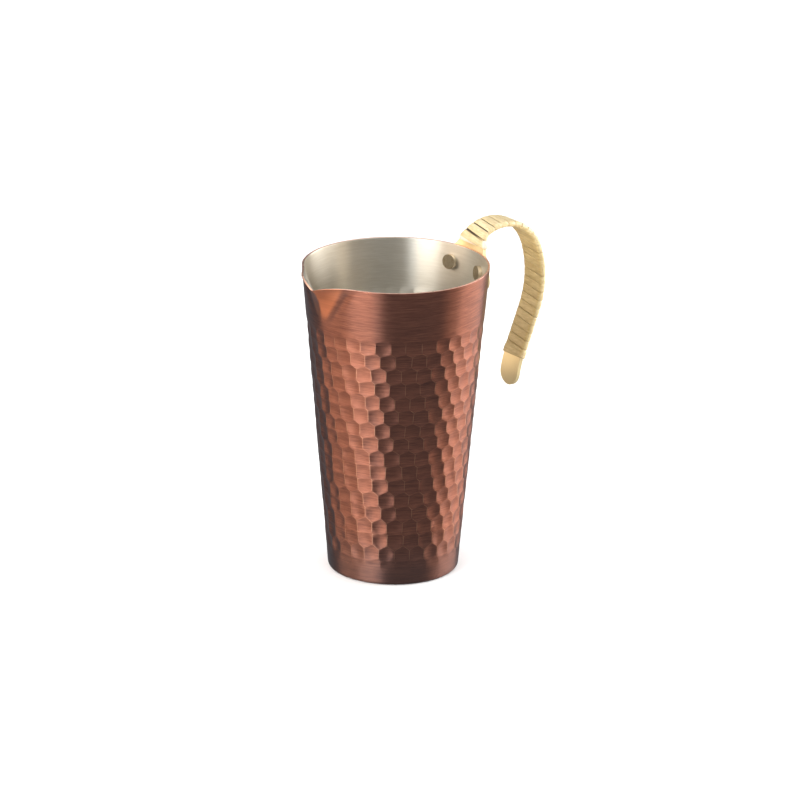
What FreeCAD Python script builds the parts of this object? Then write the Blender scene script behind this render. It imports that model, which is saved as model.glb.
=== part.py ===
"""Hammered copper pouring mug with a hooked handle.

A tapered copper cup, tinned inside, has its rim drawn out to a pointed pouring lip.  A brass
strap is riveted to the wall opposite the lip, rises over the rim, bends out and down into an
open hook and is bound with split cane.  The handle is rigid, so nothing on the mug moves.

Millimetres, +Z up.  The origin is the centre of the base on the cup's axis.  The handle points
along +X and the lip along -X.
"""
import FreeCAD, Part
import math
import os

from FreeCAD import Rotation, Vector

# Cup
HEIGHT = 126.5
MOUTH_RADIUS = 37.5
BASE_RADIUS = 26.25
BASE_CORNER = 1.6
COPPER_GAUGE = 0.8
TIN_GAUGE = 0.1

# Pouring lip.  Each level is a depth below the rim, the reach beyond the wall and half the
# spread in degrees.  The lip's sections run on past its shoulders and root inside the wall.
LIP_TIP_DROP = 3.0
LIP_TIP_REACH = 3.9
LIP_SHOULDER_ANGLE = 23.0
LIP_LEVELS = (
    (20.0, -0.15, 3.0),
    (7.0, 1.5, 13.0),
    (LIP_TIP_DROP, LIP_TIP_REACH, LIP_SHOULDER_ANGLE),
    (-2.0, 6.9, 28.0),
)
LIP_SIDE_FACTOR = 1.1
LIP_ROOT_DEPTH = 6.0
LIP_INSET_FACTOR = 1.25

# Handle strap: the middle line's bends, with headings in degrees from +X towards +Z
STRAP_GAUGE = 1.5
STRAP_HALF_WIDTH = 5.5
BEND_HEIGHT = 2.5
ROOT_BEND_RADIUS = 6.0
CROWN_RADIUS = 18.8
BACK_RADIUS = 39.0
RUN_LENGTH = 17.7
TIP_BEND_RADIUS = 40.0
WINDING_START_HEADING = 82.0
CROWN_HEADING = 27.0
BACK_HEADING = -70.0
RUN_HEADING = -112.0
WINDING_END_HEADING = -109.0
TIP_HEADING = -91.5

# Fishtail foot and neck of the strap, by height above the rim
FOOT_TOP = 0.3
FOOT_TOP_HALF_WIDTH = 9.2
FOOT_EAR_HEIGHT = -8.5
FOOT_EAR_HALF_WIDTH = 17.0
FOOT_EAR_RADIUS = 3.2
FOOT_BOTTOM = -12.5
NECK_HALF_WIDTH = 7.7
NECK_TAPER_TOP = 7.5
NECK_OVERLAP = 1.0

# Cane winding
CANE_GAUGE = 0.45
WINDING_HALF_WIDTH = 5.95
WINDING_ROOT_HALF_WIDTH = 8.3

# Rivets
RIVET_DEPTH = 7.3
RIVET_ANGLE = 15.5
RIVET_SHANK_RADIUS = 1.6
RIVET_HEAD_RADIUS = 3.0
RIVET_HEAD_HEIGHT = 1.7
RIVET_DOME_RADIUS = 3.1
RIVET_DOME_HEIGHT = 1.5
RIVET_OVERLAP = 0.3

# Worked out from the driving sizes
TAPER = (MOUTH_RADIUS - BASE_RADIUS) / HEIGHT
TAPER_ANGLE = math.degrees(math.atan(TAPER))
WALL_GAUGE = COPPER_GAUGE + TIN_GAUGE
UP_THE_WALL = 90.0 - TAPER_ANGLE
STRAP_LEVEL_GAUGE = STRAP_GAUGE / math.cos(math.radians(TAPER_ANGLE))
WALL_TO_MIDDLE = STRAP_LEVEL_GAUGE / 2.0
NECK_TAPER = (NECK_HALF_WIDTH - STRAP_HALF_WIDTH) / (NECK_TAPER_TOP - BEND_HEIGHT)
OVERRUN = 12.0
WOUND_PATH = ("root_bend", "crown", "back", "run", "run_out")


def wall_radius(z):
    """Outer radius of the cup at height z."""
    return BASE_RADIUS + TAPER * z


def heading_vector(degrees):
    """Unit vector in the XZ plane, measured from +X towards +Z."""
    angle = math.radians(degrees)
    return Vector(math.cos(angle), 0, math.sin(angle))


def left_of(degrees):
    """Unit vector in the XZ plane, a quarter turn left of a heading."""
    return heading_vector(degrees + 90.0)


def solid_between(wires):
    """Ruled solid through closed wires."""
    return Part.makeLoft(wires, True, True)


# --- Cup -------------------------------------------------------------------------------------

def cup_cone(inset):
    """Solid of revolution inside the cup's outer face, moved in by inset."""
    slant = inset / math.cos(math.radians(TAPER_ANGLE))
    corner = BASE_CORNER - inset
    half_turn = math.radians(UP_THE_WALL)
    rise = corner * math.tan(half_turn / 2.0)
    foot_radius = wall_radius(inset) - slant
    axis_low = Vector(0, 0, inset)
    axis_high = Vector(0, 0, HEIGHT)
    rim = Vector(MOUTH_RADIUS - slant, 0, HEIGHT)
    foot = Vector(foot_radius, 0, inset)
    flat_end = foot - Vector(rise, 0, 0)
    wall_start = foot + heading_vector(UP_THE_WALL) * rise
    centre = flat_end + Vector(0, 0, corner)
    arc_middle = centre + heading_vector(-90.0 + UP_THE_WALL / 2.0) * corner
    edges = [
        Part.makeLine(axis_low, flat_end),
        Part.Arc(flat_end, arc_middle, wall_start).toShape(),
        Part.makeLine(wall_start, rim),
        Part.makeLine(rim, axis_high),
        Part.makeLine(axis_high, axis_low),
    ]
    profile = Part.Face(Part.Wire(edges))
    return profile.revolve(Vector(0, 0, 0), Vector(0, 0, 1), 360)


def lip_section(depth, reach, spread, inset):
    """Pointed horizontal section of the pouring lip, rooted inside the wall."""
    z = HEIGHT - depth
    radius = wall_radius(z)
    angle = math.radians(spread)
    apex = Vector(-radius - reach, 0, z)
    shoulder = Vector(-radius * math.cos(angle), radius * math.sin(angle), z)
    left = apex + (shoulder - apex) * LIP_SIDE_FACTOR
    right = Vector(left.x, -left.y, z)
    inward = Vector(LIP_ROOT_DEPTH, 0, 0)
    outline = Part.makePolygon([apex, left, left + inward, right + inward, right, apex])
    outline.translate(Vector(LIP_INSET_FACTOR * inset, 0, 0))
    return outline


def lip_trim():
    """Block above the rim of the lip, which falls from its shoulders to its tip."""
    shoulder_x = -MOUTH_RADIUS * math.cos(math.radians(LIP_SHOULDER_ANGLE))
    tip_x = -(wall_radius(HEIGHT - LIP_TIP_DROP) + LIP_TIP_REACH)
    end_x = tip_x - OVERRUN
    fall = LIP_TIP_DROP * (end_x - shoulder_x) / (tip_x - shoulder_x)
    outline = Part.makePolygon([
        Vector(shoulder_x, -3 * OVERRUN, HEIGHT),
        Vector(end_x, -3 * OVERRUN, HEIGHT - fall),
        Vector(end_x, -3 * OVERRUN, HEIGHT + OVERRUN),
        Vector(shoulder_x, -3 * OVERRUN, HEIGHT + OVERRUN),
        Vector(shoulder_x, -3 * OVERRUN, HEIGHT),
    ])
    return Part.Face(outline).extrude(Vector(0, 6 * OVERRUN, 0))


def rim_slab():
    """Block above the level rim."""
    slab = Part.makeBox(8 * OVERRUN, 8 * OVERRUN, OVERRUN)
    slab.translate(Vector(-4 * OVERRUN, -4 * OVERRUN, HEIGHT))
    return slab


def cup_envelope(inset):
    """Filled shape of cup and lip, moved in from the outer face by inset."""
    sections = [lip_section(depth, reach, spread, inset) for depth, reach, spread in LIP_LEVELS]
    lip = solid_between(sections).cut(rim_slab())
    return cup_cone(inset).fuse(lip).cut(lip_trim()).removeSplitter()


# --- Handle ----------------------------------------------------------------------------------

def hook_segments():
    """Bends and straights of the strap's middle line: name, length, radius and headings."""
    return [
        ("neck_bend", None, ROOT_BEND_RADIUS, UP_THE_WALL, WINDING_START_HEADING),
        ("root_bend", None, ROOT_BEND_RADIUS, WINDING_START_HEADING, CROWN_HEADING),
        ("crown", None, CROWN_RADIUS, CROWN_HEADING, BACK_HEADING),
        ("back", None, BACK_RADIUS, BACK_HEADING, RUN_HEADING),
        ("run", RUN_LENGTH, None, RUN_HEADING, RUN_HEADING),
        ("run_out", None, TIP_BEND_RADIUS, RUN_HEADING, WINDING_END_HEADING),
        ("tip_bend", None, TIP_BEND_RADIUS, WINDING_END_HEADING, TIP_HEADING),
    ]


def hook_start():
    """Point on the strap's middle line where it starts to bend away from the wall."""
    z = HEIGHT + BEND_HEIGHT
    return Vector(wall_radius(z) + WALL_TO_MIDDLE, 0, z)


def hook_walk(names):
    """Yield start, middle and end points and headings along the named part of the path."""
    point = hook_start()
    for name, length, radius, heading_in, heading_out in hook_segments():
        heading_mid = (heading_in + heading_out) / 2.0
        if radius is None:
            end = point + heading_vector(heading_in) * length
            middle = (point + end) * 0.5
        else:
            side = 1.0 if heading_out > heading_in else -1.0
            centre = point + left_of(heading_in) * radius * side
            middle = centre - left_of(heading_mid) * radius * side
            end = centre - left_of(heading_out) * radius * side
        if name in names:
            yield point, middle, end, heading_in, heading_mid, heading_out
        point = end


def hook_side(names, offset):
    """Edges of the path moved sideways by offset, positive to the left."""
    edges = []
    for start, middle, end, heading_in, heading_mid, heading_out in hook_walk(names):
        first = start + left_of(heading_in) * offset
        last = end + left_of(heading_out) * offset
        if heading_in == heading_out:
            edges.append(Part.makeLine(first, last))
        else:
            between = middle + left_of(heading_mid) * offset
            edges.append(Part.Arc(first, between, last).toShape())
    return edges


def hook_ribbon(names, half_thickness, half_width):
    """Bent bar along the named part of the path."""
    outer = hook_side(names, half_thickness)
    inner = hook_side(names, -half_thickness)
    caps = [
        Part.makeLine(outer[0].firstVertex(True).Point, inner[0].firstVertex(True).Point),
        Part.makeLine(outer[-1].lastVertex(True).Point, inner[-1].lastVertex(True).Point),
    ]
    outline = Part.Wire(Part.__sortEdges__(outer + inner + caps))
    outline.translate(Vector(0, -half_width, 0))
    return Part.Face(outline).extrude(Vector(0, 2 * half_width, 0))


def flared_mask(low, low_half_width, high, high_half_width):
    """Block that narrows upwards, between two heights above the rim, out along +X."""
    outline = Part.makePolygon([
        Vector(0, -low_half_width, HEIGHT + low),
        Vector(0, low_half_width, HEIGHT + low),
        Vector(0, high_half_width, HEIGHT + high),
        Vector(0, -high_half_width, HEIGHT + high),
        Vector(0, -low_half_width, HEIGHT + low),
    ])
    return Part.Face(outline).extrude(Vector(2 * MOUTH_RADIUS, 0, 0))


def is_lower_ear_edge(edge):
    """True for the two bottom edges of the foot's block that run along X."""
    box = edge.BoundBox
    along_x = box.XLength > box.YLength + box.ZLength
    return along_x and abs(box.ZMax - HEIGHT - FOOT_BOTTOM) < 1e-6


def foot_outline():
    """Fishtail outline of the strap's foot, carried out along +X, with rounded lower corners."""
    flare = flared_mask(FOOT_EAR_HEIGHT, FOOT_EAR_HALF_WIDTH, FOOT_TOP, FOOT_TOP_HALF_WIDTH)
    ears = Part.makeBox(
        2 * MOUTH_RADIUS, 2 * FOOT_EAR_HALF_WIDTH, FOOT_EAR_HEIGHT - FOOT_BOTTOM,
        Vector(0, -FOOT_EAR_HALF_WIDTH, HEIGHT + FOOT_BOTTOM))
    corners = [edge for edge in ears.Edges if is_lower_ear_edge(edge)]
    return flare.fuse(ears.makeFillet(FOOT_EAR_RADIUS, corners))


def foot():
    """Curved foot of the strap, lying on the outside of the wall."""
    low = HEIGHT + FOOT_BOTTOM - OVERRUN
    high = HEIGHT + FOOT_TOP
    base = Vector(0, 0, low)
    outer = Part.makeCone(
        wall_radius(low) + STRAP_LEVEL_GAUGE, wall_radius(high) + STRAP_LEVEL_GAUGE,
        high - low, base)
    inner = Part.makeCone(wall_radius(low), wall_radius(high), high - low, base)
    return outer.cut(inner).common(foot_outline())


def neck_foot_section():
    """Curved section where the neck leaves the foot."""
    z = HEIGHT + FOOT_TOP
    half_width = FOOT_TOP_HALF_WIDTH
    inner = wall_radius(z)
    outer = inner + STRAP_LEVEL_GAUGE
    inner_x = math.sqrt(inner ** 2 - half_width ** 2)
    outer_x = math.sqrt(outer ** 2 - half_width ** 2)
    inner_left = Vector(inner_x, half_width, z)
    inner_right = Vector(inner_x, -half_width, z)
    outer_left = Vector(outer_x, half_width, z)
    outer_right = Vector(outer_x, -half_width, z)
    return Part.Wire([
        Part.Arc(inner_right, Vector(inner, 0, z), inner_left).toShape(),
        Part.makeLine(inner_left, outer_left),
        Part.Arc(outer_left, Vector(outer, 0, z), outer_right).toShape(),
        Part.makeLine(outer_right, inner_right),
    ])


def neck_bend_section():
    """Flat section where the neck meets the hook."""
    inward = left_of(UP_THE_WALL) * (STRAP_GAUGE / 2.0)
    left = Vector(0, NECK_HALF_WIDTH, 0)
    middle = hook_start()
    corners = [
        middle + inward - left,
        middle + inward + left,
        middle - inward + left,
        middle - inward - left,
    ]
    return Part.makePolygon(corners + corners[:1])


def tip_rounding():
    """Two corner pieces whose removal gives the strap a half-round end."""
    *_, last = hook_walk(("tip_bend",))
    end, heading = last[2], last[5]
    block = Part.makeBox(
        STRAP_HALF_WIDTH + OVERRUN, 2 * OVERRUN, 2 * OVERRUN, Vector(0, -OVERRUN, -OVERRUN))
    disc = Part.makeCylinder(STRAP_HALF_WIDTH, 2 * OVERRUN, Vector(0, 0, -OVERRUN))
    corners = block.cut(disc)
    along = heading_vector(heading)
    across = left_of(heading)
    turn = Rotation(along, Vector(0, 1, 0), across, "ZXY")
    corners.Placement = FreeCAD.Placement(end - along * STRAP_HALF_WIDTH, turn)
    return corners


def handle_strap():
    """Brass strap: riveted foot, neck and hook in one piece."""
    half_gauge = STRAP_GAUGE / 2.0
    hook = hook_ribbon(("neck_bend",) + WOUND_PATH + ("tip_bend",), half_gauge, STRAP_HALF_WIDTH)
    hook = hook.cut(tip_rounding())
    taper = hook_ribbon(("neck_bend", "root_bend"), half_gauge, NECK_HALF_WIDTH)
    taper = taper.common(flared_mask(
        BEND_HEIGHT - NECK_OVERLAP, NECK_HALF_WIDTH + NECK_TAPER * NECK_OVERLAP,
        NECK_TAPER_TOP, STRAP_HALF_WIDTH))
    neck = solid_between([neck_foot_section(), neck_bend_section()])
    return hook.fuse([taper, neck, foot()]).removeSplitter()


def rattan_winding(strap):
    """Sleeve of split cane round the strap."""
    half_thickness = STRAP_GAUGE / 2.0 + CANE_GAUGE
    sleeve = hook_ribbon(WOUND_PATH, half_thickness, WINDING_HALF_WIDTH)
    collar = hook_ribbon(("root_bend",), half_thickness, WINDING_ROOT_HALF_WIDTH)
    mask = flared_mask(BEND_HEIGHT, WINDING_ROOT_HALF_WIDTH, NECK_TAPER_TOP, WINDING_HALF_WIDTH)
    return sleeve.fuse(collar.common(mask)).cut(strap).removeSplitter()


# --- Rivets ----------------------------------------------------------------------------------

def rivet_frame(side):
    """Point on the outside of the wall and outward direction of one rivet."""
    angle = math.radians(RIVET_ANGLE * side)
    z = HEIGHT - RIVET_DEPTH
    level = Vector(math.cos(angle), math.sin(angle), 0)
    taper = math.radians(TAPER_ANGLE)
    outward = level * math.cos(taper) - Vector(0, 0, math.sin(taper))
    return level * wall_radius(z) + Vector(0, 0, z), outward


def rivet_shank(side):
    """Plain shank through lining, wall and strap."""
    point, outward = rivet_frame(side)
    start = point - outward * (WALL_GAUGE + RIVET_OVERLAP)
    length = WALL_GAUGE + STRAP_GAUGE + 2 * RIVET_OVERLAP
    return Part.makeCylinder(RIVET_SHANK_RADIUS, length, start, outward)


def rivet(side, layers):
    """Rivet with a flat head inside the cup and a domed head outside."""
    point, outward = rivet_frame(side)
    inside = point - outward * WALL_GAUGE
    outside = point + outward * STRAP_GAUGE
    head = Part.makeCylinder(
        RIVET_HEAD_RADIUS, RIVET_HEAD_HEIGHT + RIVET_OVERLAP,
        inside - outward * RIVET_HEAD_HEIGHT, outward)
    ball_radius = (RIVET_DOME_RADIUS ** 2 + RIVET_DOME_HEIGHT ** 2) / (2 * RIVET_DOME_HEIGHT)
    ball_centre = outside - outward * (ball_radius - RIVET_DOME_HEIGHT)
    barrel = Part.makeCylinder(
        RIVET_DOME_RADIUS, RIVET_DOME_HEIGHT + RIVET_OVERLAP,
        outside - outward * RIVET_OVERLAP, outward)
    dome = Part.makeSphere(ball_radius, ball_centre).common(barrel)
    blank = head.fuse([rivet_shank(side), dome])
    return blank.cut(Part.makeCompound(layers)).removeSplitter()


# --- Assembly --------------------------------------------------------------------------------

def single_solid(name, shape):
    """The one solid that a node must be."""
    if len(shape.Solids) != 1 or not shape.isValid():
        raise ValueError(f"{name}: {len(shape.Solids)} solids, valid {shape.isValid()}")
    return shape.Solids[0]


def build():
    """Every node of the mug, by name."""
    outer_face = cup_envelope(0.0)
    copper_inner_face = cup_envelope(COPPER_GAUGE)
    cavity = cup_envelope(WALL_GAUGE)
    shanks = Part.makeCompound([rivet_shank(-1), rivet_shank(1)])

    strap = handle_strap().cut(shanks)
    copper = outer_face.cut(copper_inner_face).cut(shanks)
    lining = copper_inner_face.cut(cavity).cut(shanks)
    layers = [lining, copper, strap]
    nodes = {
        "copper_body": copper,
        "tin_lining": lining,
        "handle_strap": strap,
        "rattan_winding": rattan_winding(strap),
        "rivet_left": rivet(1, layers),
        "rivet_right": rivet(-1, layers),
    }
    return {name: single_solid(name, shape) for name, shape in nodes.items()}


def main():
    os.makedirs("parts", exist_ok=True)
    for name, solid in build().items():
        solid.exportStep(f"parts/{name}.step")
        box = solid.BoundBox
        print(f"{name}: volume {solid.Volume:.1f}, "
              f"x {box.XMin:.2f}..{box.XMax:.2f}, y {box.YMin:.2f}..{box.YMax:.2f}, "
              f"z {box.ZMin:.2f}..{box.ZMax:.2f}")


main()
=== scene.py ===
"""Looks of a hammered copper pouring mug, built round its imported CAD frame.

The cup, its tin lining and the cane winding are meshes of their own, in place of three plain CAD
nodes.  The brass strap and the rivets are the CAD nodes with better materials.  Everything stands
in the CAD frame: +X to the handle, -X to the pouring lip, +Z up.  The mug's sizes are in
millimetres and turn into metres where a mesh or a material is made.  The stage is in metres.
"""
import math

import bmesh
import bpy
import numpy as np
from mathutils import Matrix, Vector


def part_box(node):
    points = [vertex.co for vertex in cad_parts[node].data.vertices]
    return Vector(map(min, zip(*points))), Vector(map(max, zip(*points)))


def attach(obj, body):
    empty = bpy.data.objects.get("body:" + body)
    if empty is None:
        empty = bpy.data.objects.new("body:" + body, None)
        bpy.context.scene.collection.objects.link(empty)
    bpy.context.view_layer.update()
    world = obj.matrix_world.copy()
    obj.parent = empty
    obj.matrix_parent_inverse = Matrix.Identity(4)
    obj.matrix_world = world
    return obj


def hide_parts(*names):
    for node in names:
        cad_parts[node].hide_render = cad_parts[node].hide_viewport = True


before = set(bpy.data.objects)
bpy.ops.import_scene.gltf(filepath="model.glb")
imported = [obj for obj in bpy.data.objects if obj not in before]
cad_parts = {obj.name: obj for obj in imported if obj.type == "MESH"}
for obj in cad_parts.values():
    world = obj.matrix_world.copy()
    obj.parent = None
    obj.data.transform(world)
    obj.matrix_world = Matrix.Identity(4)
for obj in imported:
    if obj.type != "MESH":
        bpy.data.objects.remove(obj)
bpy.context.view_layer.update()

MM = 0.001
FULL_TURN = 2.0 * math.pi

# Cup
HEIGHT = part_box("copper_body")[1].z / MM
MOUTH_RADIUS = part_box("copper_body")[1].y / MM
BASE_RADIUS = 26.25
BASE_CORNER = 1.6
CORNER_SHRINK = 0.9
COPPER_GAUGE = 0.8
WALL_GAUGE = 0.9
LINING_GAP = 0.02
TAPER = (MOUTH_RADIUS - BASE_RADIUS) / HEIGHT
LEAN = math.atan(TAPER)

# Mesh of the cup
COLUMNS = 360
COLUMN_ANGLES = [FULL_TURN * i / COLUMNS for i in range(COLUMNS)]
BAND_ROWS = 26
BAND_CROWDING = 1.25
FOOT_ROWS = 4
CORNER_STEPS = 7
FLOOR_SHARES = (0.93, 0.8, 0.6, 0.4, 0.2, 0.08)
HIDDEN_ROWS = 18
LINING_ROWS = 110
KEYS_PER_MM = 200.0

# Pouring lip; depths run down from the rim, and the valleys' angles and widths are in degrees
LIP_TIP_DROP = 3.5
LIP_TIP_REACH = 3.9
LIP_FADE = 3.8
LIP_LENGTH = 21.0
LIP_FULL_LENGTH = 0.6 * LIP_LENGTH
LIP_INSET_SHARE = 0.25
LIP_SHOULDER_ANGLE = math.radians(25.0)
LIP_CREASE = math.radians(0.7)
VALLEY_DEPTH = 0.5
VALLEY_LENGTH = 18.0
VALLEY_FULL_LENGTH = 5.0
VALLEY_ANGLE = 24.0
VALLEY_SLANT = -1.05
VALLEY_WIDTH = 8.0
VALLEY_EDGE_WIDTH = 2.6
VALLEY_FLARE = 2.5
# Painted reflection on the lip's flanks and painted shade in its valleys
LIP_LIGHT_FULL_LENGTH = 12.0
FLANK_REFLECTION_EDGE = (-1.5, -5.5)
VALLEY_SHADE_WIDTH = 1.8
VALLEY_SHADE_START = (1.0, 3.0)

# Hammering; rows shift and blows scatter round the cup by shares of the step between blows
HAMMER_SEED = 11
HAMMER_FOOT = 6.0
HAMMER_TOP = 107.5
TOP_FADE = (0.3, 4.2)
FOOT_FADE = (0.4, 6.0)
ROW_PITCH = 5.97
FIRST_ROW = 7.4
ROWS = 17
ROW_SHIFT = (0.36, 0.44)
BLOW_PITCH = 6.2
BLOW_REACH = 2.6 * BLOW_PITCH
ROUND_SCATTER = 0.05
HEIGHT_SCATTER = 0.3
WEIGHT_SCATTER = 1.1
BLOW_CURVE = 0.037
RIDGE_LEVEL = 3.55
UNROLL_RADIUS = 32.0
GIRTH = FULL_TURN * UNROLL_RADIUS
COLUMN_PITCH = GIRTH / COLUMNS
FACET_STEP = 1.25
FACET_RINGS = (0.34, 0.68, 0.93)
MIDDLE_MARGIN = 0.5
# Ridges are brightened as rubbed wear with painted highlight, less on level edges than on upright
# ones
LEVEL_EDGE_BRIGHTENING = 0.6
UPRIGHT_RISE = (0.3, 0.8)
TONE_TOP = 0.5

# Backs of the hammer marks on the tin
BACK_SHARE = 0.8
BACK_SHARPNESS = 1.1
BACK_REACH = 2.2 * ROW_PITCH
BACK_FADE = 4.0

# Handle; headings are degrees up from +X
STRAP_GAUGE = 1.5
STRAP_HALF_WIDTH = 5.5
BEND_HEIGHT = 2.5
NECK_STRAIGHT = 0.9
ROOT_BEND_RADIUS = 6.0
CROWN_HEADING = 27.0
CROWN_RADIUS = 18.8
BACK_HEADING = -70.0
BACK_RADIUS = 39.0
RUN_HEADING = -112.0
RUN_LENGTH = 17.7
TIP_BEND_RADIUS = 40.0
WINDING_END_HEADING = -109.0
NECK_HALF_WIDTH = 7.7
NECK_TAPER_TOP = 7.5
NECK_LENGTH = 12.0
SIDEWAYS = np.array([0.0, 1.0, 0.0])

# Cane; on a bend that stretches it by OPENING_STRETCH, a turn is narrower by its whole trim
CANE_SEED = 5
CANE_GAUGE = 0.44
CANE_BACK = 0.03
CANE_ROUND = 0.12
CANE_TURNS = 26
CANE_STEPS = 56
TURN_SCATTER = 0.09
TURN_TRIM = (0.05, 0.6)
TURN_TONES = (0.0, 0.8)
TURN_CLEARANCE = 0.03
OPENING_STRETCH = 0.04
OPENING_LIMIT = 1.2
EDGE_STAND_OFF = 0.35
INNER_STAND_OFF = 0.15
LIFT = 0.6 * CANE_GAUGE
FIRST_LIFT_RISE = (0.85, 1.0)
FIRST_LIFT_FALL = (1.6, 1.1)
LAST_LIFT_RISE = (CANE_TURNS - 1.2, CANE_TURNS - 0.9)

# Where the materials change, by height above the table
# The copper is darker towards the bottom
FOOT_DARKENING_HEIGHTS = (22.0, 6.0)
# Painted light: the brass is lighter towards the strap's tip
TIP_LIGHT_HEIGHTS = (104.0, 96.0)
COVERED_HEIGHTS = (131.2, 132.2)
CAD_BEVEL_ANGLE = math.radians(50.0)

# Colours, linear red, green and blue; pairs run from dark to light
OXIDE = ((0.150, 0.064, 0.048), (0.255, 0.094, 0.062))
RED_FACET = (0.345, 0.122, 0.072)
BRUSHED_COPPER = (0.46, 0.185, 0.114)
# Ridges: rubbed wear with painted highlight
RIDGE_WEAR_AND_HIGHLIGHT = (0.92, 0.50, 0.31)
# Painted reflection on the lip's flanks
FLANK_PAINTED_REFLECTION = (0.84, 0.30, 0.14)
# Painted shade in the valleys beside the lip
VALLEY_PAINTED_SHADE = (0.09, 0.055, 0.048)
# Colour that the copper darkens to towards the bottom
FOOT_DARKENING = (0.155, 0.098, 0.086)
GROUND_EDGE = ((0.78, 0.42, 0.29), (0.92, 0.58, 0.43))
TIN = ((0.52, 0.475, 0.39), (0.62, 0.57, 0.48))
BRUSHED_TIN = (0.76, 0.72, 0.63)
BRASS = ((0.66, 0.50, 0.25), (0.78, 0.62, 0.34))
# Painted light on the strap's tip
TIP_PAINTED_LIGHT_BRASS = (0.95, 0.77, 0.42)
# Painted shade on the brass under the cane
BRASS_PAINTED_SHADE = (0.055, 0.035, 0.018)
NICKEL = ((0.56, 0.46, 0.33), (0.72, 0.62, 0.47))
CANE = ((0.50, 0.38, 0.18), (0.72, 0.60, 0.36))
TANNED_CANE = (0.46, 0.33, 0.14)
PINK_CANE = (0.88, 0.70, 0.60)
STAINED_CANE = (0.74, 0.55, 0.40)
# Painted warm shade on the hook's inner face
INNER_FACE_SHADE = (0.88, 0.80, 0.57)
FLOOR = ((0.885, 0.885, 0.885), (0.90, 0.90, 0.90))
SKY = (0.82, 0.90, 1.0)
WARM_LIGHT = (1.0, 0.82, 0.66)
WHITE_LIGHT = (1.0, 0.97, 0.94)
COOL_LIGHT = (0.80, 0.89, 1.0)

# Stage, in metres and degrees
FLOOR_RADIUS = 3.6
FLOOR_BEND = 1.2
FLOOR_BEND_STEPS = 10
FLOOR_RINGS = (0.05, 0.2, 0.5, 1.0)
FLOOR_SIDES = 96
WALL_TOP = 3.0
SKY_STRENGTH = 0.22
BOX_ELEVATION = 14.0
BOX_DISTANCE = 0.9
BOX_HEIGHT = 0.5
CEILING_ELEVATION = 89.0
CEILING_DISTANCE = 3.2
CEILING_SIZE = 9.0
CEILING_RADIANCE = 1.12
CAMERA_AZIMUTH = -36.5
CAMERA_ELEVATION = 19.22
CAMERA_DISTANCE = 2.2
CAMERA_ROLL = 0.57
CAMERA_LENS = 246.6
CAMERA_SENSOR = 36.0
CAMERA_SHIFT = (0.0070375, 0.01875)
MUG_MIDDLE = Vector((0.0, 0.0, 0.5 * HEIGHT * MM))

# Soft boxes: name, azimuth from the camera's, width, radiance, colour
SOFT_BOXES = (
    ("left_side_box", -81.0, 0.76, 3.8, WARM_LIGHT),
    ("left_front_box", -43.0, 0.46, 8.5, WHITE_LIGHT),
    ("left_edge_box", -23.0, 0.16, 6.0, COOL_LIGHT),
    ("right_front_box", 75.0, 0.3, 2.2, WARM_LIGHT),
    ("right_side_box", 109.0, 0.8, 7.5, WHITE_LIGHT),
)


# --- Mesh helpers --------------------------------------------------------------------------------

def make_piece(name, points, faces, material, replaced):
    """Mesh object from points in millimetres, riding on the one body in place of a CAD node."""
    mesh = bpy.data.meshes.new(name)
    mesh.from_pydata((np.asarray(points) * MM).tolist(), [], faces)
    mesh.validate()
    shaped = bmesh.new()
    shaped.from_mesh(mesh)
    bmesh.ops.recalc_face_normals(shaped, faces=shaped.faces)
    shaped.to_mesh(mesh)
    shaped.free()
    mesh.shade_smooth()
    piece = bpy.data.objects.new(name, mesh)
    bpy.context.scene.collection.objects.link(piece)
    mesh.materials.append(material)
    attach(piece, "root")
    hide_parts(replaced)
    return piece


def set_attribute(piece, name, values):
    """One number per point, for the material to read."""
    attribute = piece.data.attributes.new(name, "FLOAT", "POINT")
    attribute.data.foreach_set("value", np.array(values, np.float32))


def smoothstep(low, high, x):
    """Smooth rise from 0 at low to 1 at high, either way round."""
    t = np.clip((np.asarray(x, float) - low) / (high - low), 0.0, 1.0)
    return t * t * (3.0 - 2.0 * t)


def part_way(start, end, share):
    """Point a share of the way from one flat point to another."""
    return (start[0] + share * (end[0] - start[0]), start[1] + share * (end[1] - start[1]))


class Shell:
    """Points and faces of one closed mesh, with points shared by their position."""

    def __init__(self):
        self.points = []
        self.faces = []
        self.wear_and_sheen = []
        self.index = {}

    def point(self, position, wear_and_sheen=0.0):
        key = tuple(int(round(c * KEYS_PER_MM)) for c in position)
        if key not in self.index:
            self.index[key] = len(self.points)
            self.points.append(tuple(position))
            self.wear_and_sheen.append(wear_and_sheen)
        return self.index[key]

    def face(self, corners, outward=True):
        """Face through corners that run anticlockwise where it looks outward."""
        if not outward:
            corners = corners[::-1]
        ring = [c for i, c in enumerate(corners) if c != corners[i - 1]]
        if len(set(ring)) >= 3:
            self.faces.append(ring)

    def strip(self, low, high, outward):
        """Quads between two closed rings of the same length."""
        for i in range(len(low)):
            self.face([low[i - 1], low[i], high[i], high[i - 1]], outward)


# --- Cup -----------------------------------------------------------------------------------------

def wall_radius(z):
    return BASE_RADIUS + TAPER * z


def lip_reach(z):
    """How far the lip's crease stands out from the cone at height z."""
    depth = HEIGHT - np.asarray(z, float)
    reach = LIP_TIP_REACH * np.exp(-(depth - LIP_TIP_DROP) / LIP_FADE)
    return reach * smoothstep(LIP_LENGTH, LIP_FULL_LENGTH, depth)


def off_valley(off_lip, depth):
    """Degrees between a point and the valley beside the lip; negative on the lip's side."""
    return np.degrees(off_lip) - (VALLEY_ANGLE + VALLEY_SLANT * depth)


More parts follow.
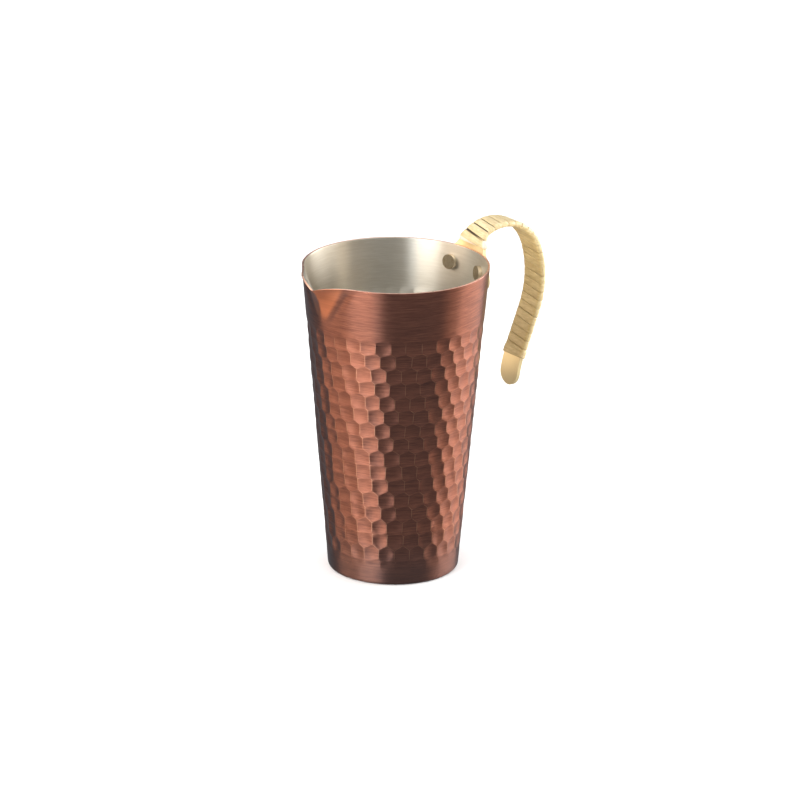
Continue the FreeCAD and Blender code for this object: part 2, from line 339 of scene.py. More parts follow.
def lip_valley(off_lip, z):
    """Depth of the valley that runs down each side of the lip, closing towards its crease."""
    depth = HEIGHT - np.asarray(z, float)
    offset = off_valley(off_lip, depth)
    far_width = VALLEY_EDGE_WIDTH + VALLEY_WIDTH * np.exp(-np.maximum(depth, 0.0) / VALLEY_FLARE)
    width = np.where(offset > 0.0, far_width, VALLEY_WIDTH)
    fade = smoothstep(VALLEY_LENGTH, VALLEY_FULL_LENGTH, depth)
    return VALLEY_DEPTH * np.exp(-(offset / width) ** 2) * fade


def lip_painted_light(points):
    """Painted light at the lip: painted reflection up to 1 on its flanks, painted shade down to -1
    in the valleys.
    """
    x, y, z = np.transpose(points)
    depth = HEIGHT - z
    offset = off_valley(math.pi - np.arctan2(np.abs(y), x), depth)
    flank = smoothstep(*FLANK_REFLECTION_EDGE, offset)
    valley = np.exp(-(offset / VALLEY_SHADE_WIDTH) ** 2) * smoothstep(*VALLEY_SHADE_START, depth)
    return (flank - valley) * smoothstep(VALLEY_LENGTH, LIP_LIGHT_FULL_LENGTH, depth)


def cup_radius(angle, z, inset):
    """Radius of the cup with its lip, moved in by inset."""
    off_lip = np.abs(np.mod(np.asarray(angle, float), FULL_TURN) - math.pi)
    off_lip = np.sqrt(off_lip ** 2 + LIP_CREASE ** 2)
    radius = wall_radius(np.asarray(z, float)) - inset
    apex = radius + np.maximum(lip_reach(z) - LIP_INSET_SHARE * inset, 0.0)
    tangent = np.arccos(np.clip(radius / apex, -1.0, 1.0))
    return radius / np.cos(np.maximum(tangent - off_lip, 0.0)) - lip_valley(off_lip, z)


def rim_height(angle):
    """Height of the rim, which falls from the lip's shoulders to its tip."""
    tip = wall_radius(HEIGHT - LIP_TIP_DROP) + LIP_TIP_REACH
    radius = cup_radius(angle, HEIGHT - LIP_TIP_DROP, 0.0)
    forward = -radius * np.cos(angle)
    shoulder = MOUTH_RADIUS * math.cos(LIP_SHOULDER_ANGLE)
    fall = np.clip((forward - shoulder) / (tip - shoulder), 0.0, 1.0)
    return HEIGHT - LIP_TIP_DROP * fall ** 2


def cup_point(angle, z, inset, dent=0.0):
    radius = float(cup_radius(angle, z, inset)) - dent
    return (radius * math.cos(angle), radius * math.sin(angle), float(z))


def hammer_blows(rng):
    """Centres of the hammer blows, unrolled (round, up), with a weight that deepens each."""
    blows = []
    phase = 0.0
    for row in range(-1, ROWS + 2):
        z = FIRST_ROW + row * ROW_PITCH
        count = round(FULL_TURN * wall_radius(z) / BLOW_PITCH)
        step = FULL_TURN / count
        phase -= rng.uniform(*ROW_SHIFT) * step
        for i in range(count):
            angle = phase + step * (i + rng.uniform(-ROUND_SCATTER, ROUND_SCATTER))
            height = z + rng.uniform(-HEIGHT_SCATTER, HEIGHT_SCATTER)
            weight = rng.uniform(-WEIGHT_SCATTER, WEIGHT_SCATTER)
            blows.append((UNROLL_RADIUS * (angle % FULL_TURN), height, weight))
    return np.array(blows)


def blows_all_round(blows):
    """The blows with copies one girth to each side, so that every one has all its neighbours."""
    return np.vstack([blows + (shift * GIRTH, 0.0, 0.0) for shift in (-1, 0, 1)])


def clipped(polygon, normal, limit):
    """Part of a convex polygon where normal . p <= limit."""
    result = []
    for i, here in enumerate(polygon):
        before = polygon[i - 1]
        a = normal[0] * before[0] + normal[1] * before[1] - limit
        b = normal[0] * here[0] + normal[1] * here[1] - limit
        if a * b < 0.0:
            result.append(part_way(before, here, a / (a - b)))
        if b <= 0.0:
            result.append(here)
    return result


def facet_outlines(blows):
    """Convex outline of each blow's facet: where it cuts deeper than its neighbours."""
    around = blows_all_round(blows)
    for u, v, weight in blows:
        outline = [(u - BLOW_REACH, HAMMER_FOOT), (u + BLOW_REACH, HAMMER_FOOT),
                   (u + BLOW_REACH, HAMMER_TOP), (u - BLOW_REACH, HAMMER_TOP)]
        gap = np.hypot(around[:, 0] - u, around[:, 1] - v)
        for other in around[(gap < BLOW_REACH) & (gap > 1e-6)]:
            normal = (2.0 * (other[0] - u), 2.0 * (other[1] - v))
            limit = (other[0] ** 2 + other[1] ** 2 - other[2]) - (u * u + v * v - weight)
            outline = clipped(outline, normal, limit)
        if len(outline) >= 3:
            yield (u, v, weight), outline


def on_border(point):
    """Whether an unrolled point lies on the upper or lower border of the hammered zone."""
    return min(abs(point[1] - HAMMER_FOOT), abs(point[1] - HAMMER_TOP)) < 1e-6


def column_snapped(point):
    """A point on a border moves to the nearest column of the plain bands."""
    if not on_border(point):
        return point
    return (round(point[0] / COLUMN_PITCH) * COLUMN_PITCH, point[1])


def edge_points(start, end):
    """Points from start up to, not including, end: on a border's columns, or in even steps."""
    length = math.dist(start, end)
    if on_border(start) and on_border(end):
        count = max(1, round(length / COLUMN_PITCH))
    else:
        count = max(1, math.ceil(length / FACET_STEP))
    return [part_way(start, end, i / count) for i in range(count)]


def hammering_share(z):
    """1 in the hammered zone, fading to 0 at its upper and lower borders."""
    at_top = smoothstep(HAMMER_TOP - TOP_FADE[0], HAMMER_TOP - TOP_FADE[1], z)
    return at_top * smoothstep(HAMMER_FOOT + FOOT_FADE[0], HAMMER_FOOT + FOOT_FADE[1], z)


def dent_depth(du, dv, weight, z):
    """Depth of a blow's hollow at an offset from its centre."""
    level = BLOW_CURVE * (RIDGE_LEVEL ** 2 - du * du - dv * dv + weight)
    return max(level, 0.0) * float(hammering_share(z))


def facet_border(corners):
    """Points round a facet, and how its ridge is brightened at each by rubbed wear and painted
    highlight: upright edges are brightest.
    """
    border = []
    ridge_brightening = []
    for i, end in enumerate(corners):
        start = corners[i - 1]
        edge = edge_points(start, end)
        rise = abs(end[1] - start[1]) / max(math.dist(end, start), 1e-6)
        upright = float(smoothstep(*UPRIGHT_RISE, rise))
        border += edge
        ridge_brightening += [LEVEL_EDGE_BRIGHTENING + (1.0 - LEVEL_EDGE_BRIGHTENING) * upright] * len(edge)
    return border, ridge_brightening


def add_facet(shell, blow, outline, tone):
    """One facet: a fan of rings from its middle out to its ridges."""
    u, v, weight = blow
    corners = [column_snapped(p) for p in outline]
    border, ridge_brightening = facet_border(corners)
    middle = (u, v)
    if not HAMMER_FOOT + MIDDLE_MARGIN < v < HAMMER_TOP - MIDDLE_MARGIN:
        middle = tuple(np.mean(corners, axis=0))

    def placed(p, on_ridge=0.0):
        dent = dent_depth(p[0] - u, p[1] - v, weight, p[1])
        # Ridge brightening: rubbed wear with painted highlight
        brightened = on_ridge * float(hammering_share(p[1]))
        place = cup_point(p[0] / UNROLL_RADIUS, p[1], 0.0, dent)
        return shell.point(place, max(brightened, TONE_TOP * tone))

    centre = placed(middle)
    rings = [[placed(part_way(middle, p, share)) for p in border] for share in FACET_RINGS]
    rings.append([placed(p, ridge) for p, ridge in zip(border, ridge_brightening)])
    for i in range(len(border)):
        shell.face([centre, rings[0][i - 1], rings[0][i]])
    for inner, outer in zip(rings, rings[1:]):
        for i in range(len(border)):
            shell.face([inner[i - 1], outer[i - 1], outer[i], inner[i]])


def level_ring(shell, z, inset, dents):
    """Ring of points round the cup at one height, each pushed in by its dent."""
    return [shell.point(cup_point(angle, z, inset, dent))
            for angle, dent in zip(COLUMN_ANGLES, dents)]


def add_plain_wall(shell, inset, outward):
    """Plain band from the hammered zone's top up to the rim; returns its rim ring."""
    rings = []
    for row in range(BAND_ROWS + 1):
        share = 1.0 - (1.0 - row / BAND_ROWS) ** BAND_CROWDING
        ring = []
        for angle in COLUMN_ANGLES:
            z = HAMMER_TOP + share * (float(rim_height(angle)) - HAMMER_TOP)
            ring.append(shell.point(cup_point(angle, z, inset)))
        rings.append(ring)
    for lower, upper in zip(rings, rings[1:]):
        shell.strip(lower, upper, outward)
    return rings[-1]


def add_floor(shell, inset, outward, start):
    """Rounded bottom corner and flat floor below a ring of points, down to the axis."""
    corner = BASE_CORNER - CORNER_SHRINK * inset
    foot = wall_radius(inset) - inset / math.cos(LEAN)
    flat = foot - corner * math.tan((math.pi / 2 - LEAN) / 2)
    profile = []
    for i in range(CORNER_STEPS + 1):
        turn = (math.pi / 2 - LEAN) * i / CORNER_STEPS + LEAN
        profile.append((flat + corner * math.cos(turn), inset + corner * (1.0 - math.sin(turn))))
    profile += [(share * flat, inset) for share in FLOOR_SHARES]
    previous = start
    for radius, z in profile:
        ring = [shell.point((radius * math.cos(a), radius * math.sin(a), z))
                for a in COLUMN_ANGLES]
        shell.strip(ring, previous, outward)
        previous = ring
    centre = shell.point((0.0, 0.0, inset))
    for i in range(COLUMNS):
        shell.face([centre, previous[i], previous[i - 1]], outward)


def soft_dents(blows, heights):
    """Depth of the hammering as it shows inside, with rounded ridges, for each height."""
    around = blows_all_round(blows)
    u = np.array(COLUMN_ANGLES) * UNROLL_RADIUS
    depth = np.zeros((len(heights), COLUMNS))
    for row, z in enumerate(heights):
        near = around[np.abs(around[:, 1] - z) < BACK_REACH]
        square = (u[:, None] - near[:, 0]) ** 2 + (z - near[:, 1]) ** 2 - near[:, 2]
        lowest = square.min(axis=1)
        spread = np.exp(-BACK_SHARPNESS * (square - lowest[:, None])).sum(axis=1)
        level = RIDGE_LEVEL ** 2 - (lowest - np.log(spread) / BACK_SHARPNESS)
        depth[row] = BLOW_CURVE * np.maximum(level, 0.0)
    faded = smoothstep(HAMMER_TOP, HAMMER_TOP - BACK_FADE, heights) * smoothstep(
        HAMMER_FOOT, HAMMER_FOOT + BACK_FADE, heights)
    return BACK_SHARE * depth * faded[:, None]


def add_hollow_side(shell, inset, heights, dents, outward):
    """Hollow face of a layer, pushed in by its dents; returns its rim ring."""
    rings = [level_ring(shell, z, inset, row) for z, row in zip(heights, dents)]
    for lower, upper in zip(rings, rings[1:]):
        shell.strip(lower, upper, outward)
    add_floor(shell, inset, outward, rings[0])
    return add_plain_wall(shell, inset, outward)


def add_hidden_side(shell, inset, outward):
    """Plain face where copper and tin meet; returns its rim ring."""
    heights = np.linspace(inset + BASE_CORNER, HAMMER_TOP, HIDDEN_ROWS)
    return add_hollow_side(shell, inset, heights, np.zeros((HIDDEN_ROWS, COLUMNS)), outward)


def copper_shell(blows, rng):
    """The copper cup, with its outer and inner rim rings."""
    shell = Shell()
    for blow, outline in facet_outlines(blows):
        add_facet(shell, blow, outline, rng.uniform(0.0, 1.0))
    outer_rim = add_plain_wall(shell, 0.0, True)
    heights = np.linspace(HAMMER_FOOT, BASE_CORNER, FOOT_ROWS + 1)
    rings = [level_ring(shell, z, 0.0, np.zeros(COLUMNS)) for z in heights]
    for upper, lower in zip(rings, rings[1:]):
        shell.strip(lower, upper, True)
    add_floor(shell, 0.0, True, rings[-1])
    inner_rim = add_hidden_side(shell, COPPER_GAUGE, False)
    shell.strip(outer_rim, inner_rim, True)
    return shell, outer_rim, inner_rim


def lining_shell(blows):
    """The tin on the inside of the cup."""
    shell = Shell()
    back_rim = add_hidden_side(shell, COPPER_GAUGE + LINING_GAP, True)
    heights = np.linspace(WALL_GAUGE + BASE_CORNER, HAMMER_TOP, LINING_ROWS)
    face_rim = add_hollow_side(shell, WALL_GAUGE, heights, soft_dents(blows, heights), False)
    shell.strip(back_rim, face_rim, True)
    return shell


# --- Cane winding --------------------------------------------------------------------------------

def heading_vector(degrees):
    angle = math.radians(degrees)
    return np.array([math.cos(angle), 0.0, math.sin(angle)])


class Span:
    """One straight, or one bend whose curvature is positive where it turns down."""

    def __init__(self, start, heading, length, curvature):
        self.start = start
        self.heading = heading
        self.length = length
        self.curvature = curvature

    def at(self, distance):
        """Point and heading at a distance along it."""
        if not self.curvature:
            return self.start + heading_vector(self.heading) * distance, self.heading
        heading = self.heading - math.degrees(distance * self.curvature)
        centre = self.start - heading_vector(self.heading + 90.0) / self.curvature
        return centre + heading_vector(heading + 90.0) / self.curvature, heading


class HookPath:
    """Middle line of the wound part of the strap, by arc length."""

    def __init__(self):
        z = HEIGHT + BEND_HEIGHT - NECK_STRAIGHT * math.cos(LEAN)
        half_gauge = STRAP_GAUGE / 2.0 / math.cos(LEAN)
        self.end = np.array([wall_radius(z) + half_gauge, 0.0, z])
        self.heading = 90.0 - math.degrees(LEAN)
        self.spans = []
        self.add_straight(NECK_STRAIGHT)
        self.add_bend(ROOT_BEND_RADIUS, CROWN_HEADING)
        self.add_bend(CROWN_RADIUS, BACK_HEADING)
        self.add_bend(BACK_RADIUS, RUN_HEADING)
        self.add_straight(RUN_LENGTH)
        self.add_bend(TIP_BEND_RADIUS, WINDING_END_HEADING)
        self.length = sum(span.length for span in self.spans)

    def add_span(self, length, curvature):
        span = Span(self.end, self.heading, length, curvature)
        self.spans.append(span)
        self.end, self.heading = span.at(length)

    def add_straight(self, length):
        self.add_span(length, 0.0)

    def add_bend(self, radius, heading):
        """Bend that ends at a heading."""
        turn = self.heading - heading
        self.add_span(math.radians(abs(turn)) * radius, math.copysign(1.0 / radius, turn))

    def span_at(self, distance):
        """The span at a distance, kept within the path, and the distance along that span."""
        distance = min(max(distance, 0.0), self.length)
        for span in self.spans[:-1]:
            if distance <= span.length:
                return span, distance
            distance -= span.length
        return self.spans[-1], min(distance, self.spans[-1].length)

    def at(self, distance):
        span, along = self.span_at(distance)
        return span.at(along)

    def curvature(self, distance):
        return self.span_at(distance)[0].curvature


def strap_half_width(z, distance):
    """Half width of the strap under the cane, wider where it leaves the neck."""
    if distance > NECK_LENGTH:
        return STRAP_HALF_WIDTH
    share = float(smoothstep(HEIGHT + BEND_HEIGHT, HEIGHT + NECK_TAPER_TOP, z))
    return NECK_HALF_WIDTH + (STRAP_HALF_WIDTH - NECK_HALF_WIDTH) * share


def strap_section(turn, half_width):
    """Point and outward normal round the strap's rounded section, as (across, out)."""
    radius = STRAP_GAUGE / 2.0
    flat = 2.0 * (half_width - radius)
    side = math.pi * radius
    s = (turn % 1.0) * 2.0 * (flat + side)
    if s < flat:
        return (s - flat / 2.0, radius), (0.0, 1.0)
    s -= flat
    if s < side:
        normal = (math.sin(s / radius), math.cos(s / radius))
        return (flat / 2.0 + radius * normal[0], radius * normal[1]), normal
    s -= side
    if s < flat:
        return (flat / 2.0 - s, -radius), (0.0, -1.0)
    s -= flat
    normal = (-math.sin(s / radius), -math.cos(s / radius))
    return (-flat / 2.0 + radius * normal[0], radius * normal[1]), normal


def cane_section(half):
    """Section of the split cane: flat back, crowned face, as (along, up)."""
    side = [(half, CANE_BACK), (half, 0.5 * CANE_GAUGE), (half - CANE_ROUND, 0.86 * CANE_GAUGE),
            (0.6 * half, 0.97 * CANE_GAUGE)]
    return [(-along, up) for along, up in side] + [(0.0, CANE_GAUGE)] + side[::-1]


def between_turns(values, turn):
    """Value that runs evenly from each whole turn's to the next one's."""
    whole = int(turn)
    following = values[min(whole + 1, CANE_TURNS)]
    return values[whole] + (following - values[whole]) * (turn - whole)


def strip_middle(turn, pitch, shifts):
    """Distance along the strap of the strip's middle; the first and last turn lie square."""
    last = CANE_TURNS - 2.0
    advance = min(max(turn - 1.0, 0.0), last)
    drift = between_turns(shifts, turn) if 0.0 < advance < last else 0.0
    return pitch * (advance + 0.5) + drift


def strip_half_width(path, turn, middle, pitch, trim):
    """Half the strip's width before the strap's bend stretches or squeezes it."""
    centre = path.at(middle)[0]
    (_, out), _ = strap_section(turn, strap_half_width(centre[2], middle))
    stretch = 1.0 + out * path.curvature(middle)
    opening = trim * min(max(stretch - 1.0, 0.0) / OPENING_STRETCH, OPENING_LIMIT)
    return min((pitch - opening) / 2.0 / stretch, pitch / 2.0 - TURN_CLEARANCE)


def strip_lift(turn):
    """How far the strip rides up on its own first turn, and again at its end."""
    first = smoothstep(*FIRST_LIFT_FALL, turn) * smoothstep(*FIRST_LIFT_RISE, turn)
    return LIFT * float(first + smoothstep(*LAST_LIFT_RISE, turn))


def wrapped_point(path, turn, distance, up):
    """Point at a height over the strap's surface, and its share of the hook's inner face."""
    centre, heading = path.at(distance)
    (across, out), normal = strap_section(turn, strap_half_width(centre[2], distance))
    inward = max(-normal[1], 0.0)
    off = up + EDGE_STAND_OFF * normal[0] ** 2 + INNER_STAND_OFF * inward
    point = (centre + SIDEWAYS * (across + normal[0] * off)
             + heading_vector(heading + 90.0) * (out + normal[1] * off))
    return point, inward


def cane_winding_mesh(rng):
    """One strip wound round the strap; its first and last turns lie square and are overlapped.

    Returns points, faces, each point's tone, and its share of the hook's inner face.
    """
    path = HookPath()
    pitch = path.length / (CANE_TURNS - 1)
    shifts = rng.normal(0.0, TURN_SCATTER, CANE_TURNS + 1)
    trims = rng.uniform(*TURN_TRIM, CANE_TURNS + 1)
    turn_tones = rng.uniform(*TURN_TONES, CANE_TURNS + 1)
    turn_tones[0] = 1.0
    points = []
    tones = []
    inner = []
    steps = CANE_TURNS * CANE_STEPS
    for i in range(steps + 1):
        turn = i / CANE_STEPS
        middle = strip_middle(turn, pitch, shifts)
        half = strip_half_width(path, turn, middle, pitch, between_turns(trims, turn))
        for along, up in cane_section(half):
            point, inward = wrapped_point(path, turn, middle + along, up + strip_lift(turn))
            points.append(point)
            tones.append(turn_tones[int(turn)])
            inner.append(inward)
    count = len(points) // (steps + 1)
    faces = [list(range(count)), [steps * count + j for j in range(count)]]
    for i in range(steps):
        for j in range(count):
            a = i * count + j
            b = i * count + (j + 1) % count
            faces.append([a, b, b + count, a + count])
    return points, faces, tones, inner


# --- Materials -----------------------------------------------------------------------------------

class Nodes:
    """Short hand for building a material's node tree."""

    def __init__(self, name):
        self.material = bpy.data.materials.new(name)
        self.material.use_nodes = True
        self.tree = self.material.node_tree
        self.shader = self.tree.nodes["Principled BSDF"]

    def add(self, kind, settings=None, **inputs):
        node = self.tree.nodes.new(kind)
        for key, value in (settings or {}).items():
            setattr(node, key, value)
        for key, value in inputs.items():
            self.set(node, key, value)
        return node

    def set(self, node, key, value):
        """Links or sets an input, given by its name or number; a colour is made opaque."""
        if isinstance(value, bpy.types.NodeSocket):
            self.tree.links.new(value, node.inputs[key])
        elif isinstance(value, tuple) and node.inputs[key].type == "RGBA":
            node.inputs[key].default_value = (*value, 1.0)
        else:
            node.inputs[key].default_value = value

    def attribute(self, name):
        return self.add("ShaderNodeAttribute", {"attribute_name": name}).outputs["Fac"]

    def place(self):
        return self.add("ShaderNodeTexCoord").outputs["Object"]

    def height(self):
        return self.add("ShaderNodeSeparateXYZ", Vector=self.place()).outputs["Z"]

    def noise(self, scale, detail=3.0, roughness=0.5, stretch=(1.0, 1.0, 1.0)):
        mapping = self.add("ShaderNodeMapping", Vector=self.place(), Scale=stretch)
        node = self.add("ShaderNodeTexNoise", Vector=mapping.outputs["Vector"], Scale=scale,
                        Detail=detail, Roughness=roughness)
        return node.outputs["Fac"]

    def ramp(self, factor, low, high, colours):
        """Colour that runs from the first colour at low to the second at high."""
        node = self.add("ShaderNodeValToRGB", Fac=factor)
        for element, position, colour in zip(node.color_ramp.elements, (low, high), colours):
            element.position = position
            element.color = (*colour, 1.0)
        return node.outputs["Color"]

    def mix(self, factor, a, b, blend="MIX"):
        node = self.add("ShaderNodeMix", {"data_type": "RGBA", "blend_type": blend})
        for socket, value in ((0, factor), (6, a), (7, b)):
            self.set(node, socket, value)
        return node.outputs[2]

    def math(self, operation, a, b):
        node = self.add("ShaderNodeMath", {"operation": operation})
        self.set(node, 0, a)
        self.set(node, 1, b)
        return node.outputs[0]

    def between(self, value, low, high, to_low=0.0, to_high=1.0):
        node = self.add("ShaderNodeMapRange", Value=value)
        for key, number in zip(("From Min", "From Max", "To Min", "To Max"),
                               (low, high, to_low, to_high)):
            self.set(node, key, number)
        return node.outputs["Result"]

    def by_height(self, heights, to_high=1.0):
        """Share that rises from 0 at the first height to to_high at the second."""
        return self.between(self.height(), heights[0] * MM, heights[1] * MM, 0.0, to_high)

    def bump(self, height, distance, strength):
        node = self.add("ShaderNodeBump", Height=height, Distance=distance, Strength=strength)
        return node.outputs["Normal"]

    def coat(self, weight, roughness):
        self.set(self.shader, "Coat Weight", weight)
        self.set(self.shader, "Coat Roughness", roughness)

    def brushed_round(self, anisotropic):
        """Stretches reflections across level brushing."""
        tangent = self.add("ShaderNodeTangent", {"direction_type": "RADIAL", "axis": "Z"})
        self.set(self.shader, "Anisotropic", anisotropic)
        self.set(self.shader, "Anisotropic Rotation", 0.25)
        self.set(self.shader, "Tangent", tangent.outputs["Tangent"])

    def finish(self, colour, metallic, roughness, normal=None):
        self.set(self.shader, "Base Color", colour)
        self.set(self.shader, "Metallic", metallic)
        self.set(self.shader, "Roughness", roughness)
        if normal is not None:
            self.set(self.shader, "Normal", normal)
        return self.material


def brushed_streaks(nodes, across):
    """Fine streaks that run level round the cup."""
    fine = nodes.noise(1.0, 3.0, 0.6, (200.0, 200.0, across))
    broad = nodes.noise(1.0, 3.0, 0.6, (70.0, 70.0, 0.25 * across))
    return nodes.math("ADD", nodes.math("MULTIPLY", fine, 0.6), nodes.math("MULTIPLY", broad, 0.4))


def copper_material():
    """Antiqued copper: brown oxide brushed back to bright metal in streaks, ridges rubbed bright
    with painted highlight.
    """
    nodes = Nodes("antique_copper")
    streaks = brushed_streaks(nodes, 6500.0)
    wear_and_sheen = nodes.attribute("wear_and_sheen")
    lip = nodes.attribute("lip")
    patches = nodes.noise(30.0, 4.0, 0.6, (1.0, 1.0, 0.5))
    tone = nodes.between(wear_and_sheen, 0.0, TONE_TOP, 0.0, 0.3)
    colour = nodes.mix(tone, nodes.ramp(patches, 0.30, 0.70, OXIDE), RED_FACET)
    colour = nodes.mix(nodes.between(streaks, 0.40, 0.66, 0.0, 0.75), colour, BRUSHED_COPPER)
    # Ridges brightened: rubbed wear with painted highlight, most on upright edges
    colour = nodes.mix(nodes.between(wear_and_sheen, TONE_TOP, 1.0, 0.0, 0.5), colour, RIDGE_WEAR_AND_HIGHLIGHT)
    # Painted reflection on the lip's flanks
    colour = nodes.mix(nodes.between(lip, 0.0, 1.0, 0.0, 0.55), colour, FLANK_PAINTED_REFLECTION)
    # Painted shade in the valleys beside the lip
    colour = nodes.mix(nodes.between(lip, 0.0, -1.0, 0.0, 0.5), colour, VALLEY_PAINTED_SHADE)
    # Darker towards the bottom
    colour = nodes.mix(nodes.by_height(FOOT_DARKENING_HEIGHTS, 0.55), colour, FOOT_DARKENING)
    nodes.coat(0.5, 0.22)
    nodes.brushed_round(0.95)
    return nodes.finish(colour, 1.0, nodes.between(streaks, 0.35, 0.7, 0.40, 0.50),
                        nodes.bump(streaks, 0.02 * MM, 0.3))


def rim_material():
    """Copper ground bright on the rim's edge."""
    nodes = Nodes("ground_copper_edge")
    grain = nodes.noise(900.0)
    return nodes.finish(nodes.ramp(grain, 0.3, 0.7, GROUND_EDGE), 1.0,
                        nodes.between(grain, 0.3, 0.7, 0.25, 0.38))


def tin_material():
    """Brushed tin plate, warm grey."""
    nodes = Nodes("brushed_tin")
    streaks = brushed_streaks(nodes, 6000.0)
    clouds = nodes.ramp(nodes.noise(22.0), 0.3, 0.7, TIN)
    colour = nodes.mix(nodes.between(streaks, 0.4, 0.66, 0.0, 0.5), clouds, BRUSHED_TIN)
    nodes.brushed_round(0.9)
    return nodes.finish(colour, 0.88, nodes.between(streaks, 0.35, 0.7, 0.34, 0.44),
                        nodes.bump(streaks, 0.02 * MM, 0.3))


def brass_material():
    """Satin brass of the strap: painted lighter at the tip, painted dark where the cane covers its
    crest.
    """
    nodes = Nodes("satin_brass")
    scratches = nodes.noise(1.0, 4.0, 0.6, (900.0, 2600.0, 900.0))
    clouds = nodes.ramp(nodes.noise(120.0), 0.3, 0.7, BRASS)
    # Painted light: the brass is lighter towards the tip
    brightened = nodes.mix(nodes.by_height(TIP_LIGHT_HEIGHTS), clouds, TIP_PAINTED_LIGHT_BRASS)
    covered = nodes.by_height(COVERED_HEIGHTS)
    # Painted shade: the brass under the cane is dark, so gaps between turns show dark
    colour = nodes.mix(covered, brightened, BRASS_PAINTED_SHADE)
    return nodes.finish(colour, nodes.between(covered, 0.0, 1.0, 0.7, 0.0),
                        nodes.between(scratches, 0.3, 0.7, 0.36, 0.5),
                        nodes.bump(scratches, 0.01 * MM, 0.2))


def nickel_material():
    """Nickel plate of the rivets."""
    nodes = Nodes("nickel_plate")
    scratches = nodes.noise(1400.0, 3.0, 0.6)
    return nodes.finish(nodes.ramp(scratches, 0.3, 0.7, NICKEL), 1.0,
                        nodes.between(scratches, 0.3, 0.7, 0.14, 0.26))


def cane_material():
    """Split cane: glossy cream skin, grained along the strip, with painted warm shade on the
    hook's inner face.
    """
    nodes = Nodes("split_cane")
    grain = nodes.noise(1.0, 5.0, 0.65, (1300.0, 260.0, 1300.0))
    stain = nodes.noise(75.0, 3.0, 0.55)
    tone = nodes.attribute("tone")
    colour = nodes.ramp(grain, 0.32, 0.62, CANE)
    colour = nodes.mix(nodes.between(tone, 0.0, TURN_TONES[1], 0.0, 0.35), colour, TANNED_CANE)
    colour = nodes.mix(nodes.between(tone, 0.85, 1.0, 0.0, 0.7), colour, PINK_CANE)
    colour = nodes.mix(nodes.between(stain, 0.60, 0.78, 0.0, 0.4), colour, STAINED_CANE)
    # Painted warm shade on the hook's inner face
    colour = nodes.mix(nodes.attribute("inner"), colour, INNER_FACE_SHADE, "MULTIPLY")
    nodes.coat(0.25, 0.25)
    return nodes.finish(colour, 0.0, nodes.between(grain, 0.3, 0.7, 0.36, 0.52),
                        nodes.bump(grain, 0.06 * MM, 0.5))


def floor_material():
    """Pale, matt and faintly grained."""
    nodes = Nodes("pale_floor")
    return nodes.finish(nodes.ramp(nodes.noise(300.0, 2.0), 0.3, 0.7, FLOOR), 0.0, 0.6)


# --- Pieces --------------------------------------------------------------------------------------

def make_cup():
    rng = np.random.default_rng(HAMMER_SEED)
    blows = hammer_blows(rng)
    shell, outer_rim, inner_rim = copper_shell(blows, rng)
    copper = make_piece("hammered_copper", shell.points, shell.faces, copper_material(),
                        "copper_body")
    # On ridges the value is over TONE_TOP, for rubbed wear with painted highlight; under it, it's
    # the facet's own tone
    set_attribute(copper, "wear_and_sheen", shell.wear_and_sheen)
    # Painted reflection on the lip's flanks, painted shade in its valleys
    set_attribute(copper, "lip", lip_painted_light(shell.points))
    copper.data.materials.append(rim_material())
    rim_points = set(outer_rim) | set(inner_rim)
    for polygon in copper.data.polygons:
        if all(v in rim_points for v in polygon.vertices):
            polygon.material_index = 1
    lining = lining_shell(blows)
    make_piece("tin_plate", lining.points, lining.faces, tin_material(), "tin_lining")


def make_winding():
    points, faces, tones, inner = cane_winding_mesh(np.random.default_rng(CANE_SEED))
    cane = make_piece("cane_strip", points, faces, cane_material(), "rattan_winding")
    set_attribute(cane, "tone", tones)
    set_attribute(cane, "inner", inner)


def finish_cad_node(node, material, bevel):
    """Gives a CAD node its material and breaks its sharp edges a little."""
    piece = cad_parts[node]
    piece.data.materials.clear()
    piece.data.materials.append(material)
    modifier = piece.modifiers.new("edge_break", "BEVEL")
    modifier.width = bevel * MM
    modifier.segments = 2
    modifier.limit_method = "ANGLE"
    modifier.angle_limit = CAD_BEVEL_ANGLE


def make_metalwork():
    finish_cad_node("handle_strap", brass_material(), 0.18)
    nickel = nickel_material()
    for node in ("rivet_left", "rivet_right"):
        finish_cad_node(node, nickel, 0.2)


# --- Stage ---------------------------------------------------------------------------------------

def make_floor():
    """Round pale floor that curves up into a low wall, so that no horizon shows."""
    profile = [(FLOOR_RADIUS * share, 0.0) for share in FLOOR_RINGS]
    for step in range(1, FLOOR_BEND_STEPS + 1):
        turn = math.pi / 2 * step / FLOOR_BEND_STEPS
        profile.append((FLOOR_RADIUS + FLOOR_BEND * math.sin(turn),
                        FLOOR_BEND * (1.0 - math.cos(turn))))
    profile.append((FLOOR_RADIUS + FLOOR_BEND, WALL_TOP))
    points = [(0.0, 0.0, 0.0)]
    for radius, z in profile:
        for i in range(FLOOR_SIDES):
            angle = FULL_TURN * i / FLOOR_SIDES
            points.append((radius * math.cos(angle), radius * math.sin(angle), z))
    faces = [(0, 1 + i, 1 + (i + 1) % FLOOR_SIDES) for i in range(FLOOR_SIDES)]
    for row in range(len(profile) - 1):
        for i in range(FLOOR_SIDES):
            a = 1 + row * FLOOR_SIDES + i
            b = 1 + row * FLOOR_SIDES + (i + 1) % FLOOR_SIDES
            faces.append((a, a + FLOOR_SIDES, b + FLOOR_SIDES, b))
    mesh = bpy.data.meshes.new("floor")
    mesh.from_pydata(points, [], faces)
    mesh.shade_smooth()
    mesh.materials.append(floor_material())
    floor = bpy.data.objects.new("floor", mesh)
    bpy.context.scene.collection.objects.link(floor)
    floor.visible_glossy = False


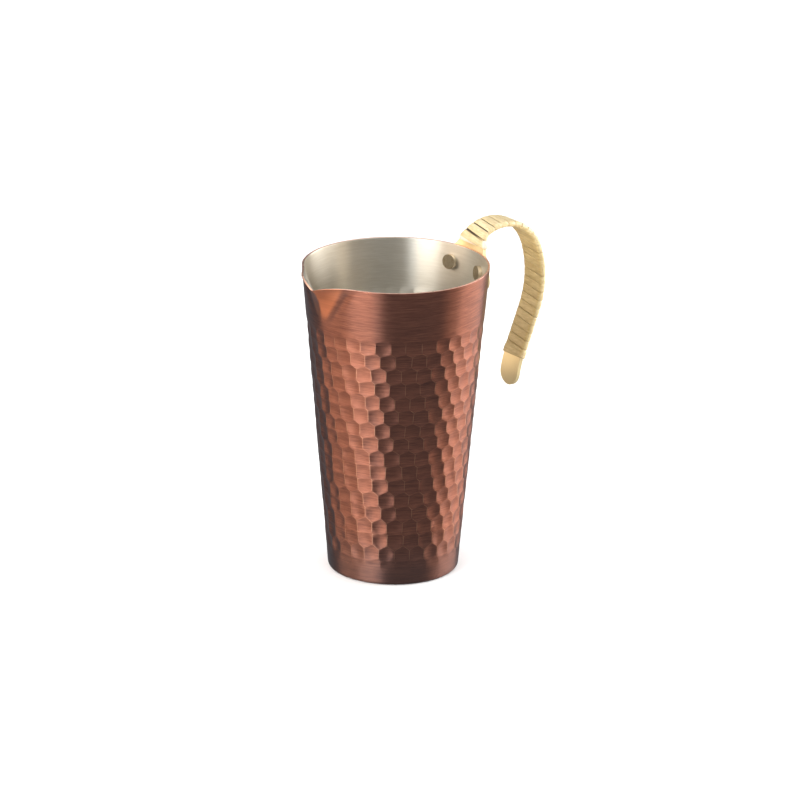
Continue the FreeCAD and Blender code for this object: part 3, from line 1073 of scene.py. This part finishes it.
def look_at_mug(name, data, azimuth, elevation, distance):
    """Puts a light or camera in the scene, turned to the mug's middle; angles in degrees."""
    a, e = math.radians(azimuth), math.radians(elevation)
    direction = Vector((math.cos(e) * math.sin(a), -math.cos(e) * math.cos(a), math.sin(e)))
    looker = bpy.data.objects.new(name, data)
    looker.location = MUG_MIDDLE + direction * distance
    looker.rotation_euler = (MUG_MIDDLE - looker.location).to_track_quat("-Z", "Y").to_euler()
    bpy.context.scene.collection.objects.link(looker)
    return looker


def make_light(name, azimuth, elevation, distance, size, radiance, colour=(1.0, 1.0, 1.0)):
    """Soft box whose face has the given radiance; azimuths are counted from the camera's."""
    light = bpy.data.lights.new(name, "AREA")
    light.shape = "RECTANGLE"
    light.size, light.size_y = size
    light.energy = radiance * math.pi * size[0] * size[1]
    light.color = colour
    box = look_at_mug(name, light, CAMERA_AZIMUTH + azimuth, elevation, distance)
    box.visible_camera = False


def make_lights():
    """Low soft boxes to the left and right, with a gap between them in front, and a ceiling."""
    for name, azimuth, width, radiance, colour in SOFT_BOXES:
        make_light(name, azimuth, BOX_ELEVATION, BOX_DISTANCE, (width, BOX_HEIGHT), radiance,
                   colour)
    make_light("ceiling", 0.0, CEILING_ELEVATION, CEILING_DISTANCE, (CEILING_SIZE, CEILING_SIZE),
               CEILING_RADIANCE)


def make_sky():
    """Faint, even light from all round; colours are shown as they are, without a film curve."""
    world = bpy.data.worlds.new("studio")
    world.use_nodes = True
    background = world.node_tree.nodes["Background"]
    background.inputs["Color"].default_value = (*SKY, 1.0)
    background.inputs["Strength"].default_value = SKY_STRENGTH
    bpy.context.scene.world = world
    bpy.context.scene.view_settings.view_transform = "Standard"


def make_camera():
    """Long lens from the front right of the pouring lip, a little above the rim."""
    camera = bpy.data.cameras.new("camera")
    camera.lens = CAMERA_LENS
    camera.sensor_width = CAMERA_SENSOR
    camera.shift_x, camera.shift_y = CAMERA_SHIFT
    view = look_at_mug("camera", camera, CAMERA_AZIMUTH, CAMERA_ELEVATION, CAMERA_DISTANCE)
    view.rotation_euler.rotate_axis("Z", math.radians(CAMERA_ROLL))
    bpy.context.scene.camera = view


def main():
    make_camera()
    make_lights()
    make_sky()
    make_floor()
    make_cup()
    make_winding()
    make_metalwork()


main()
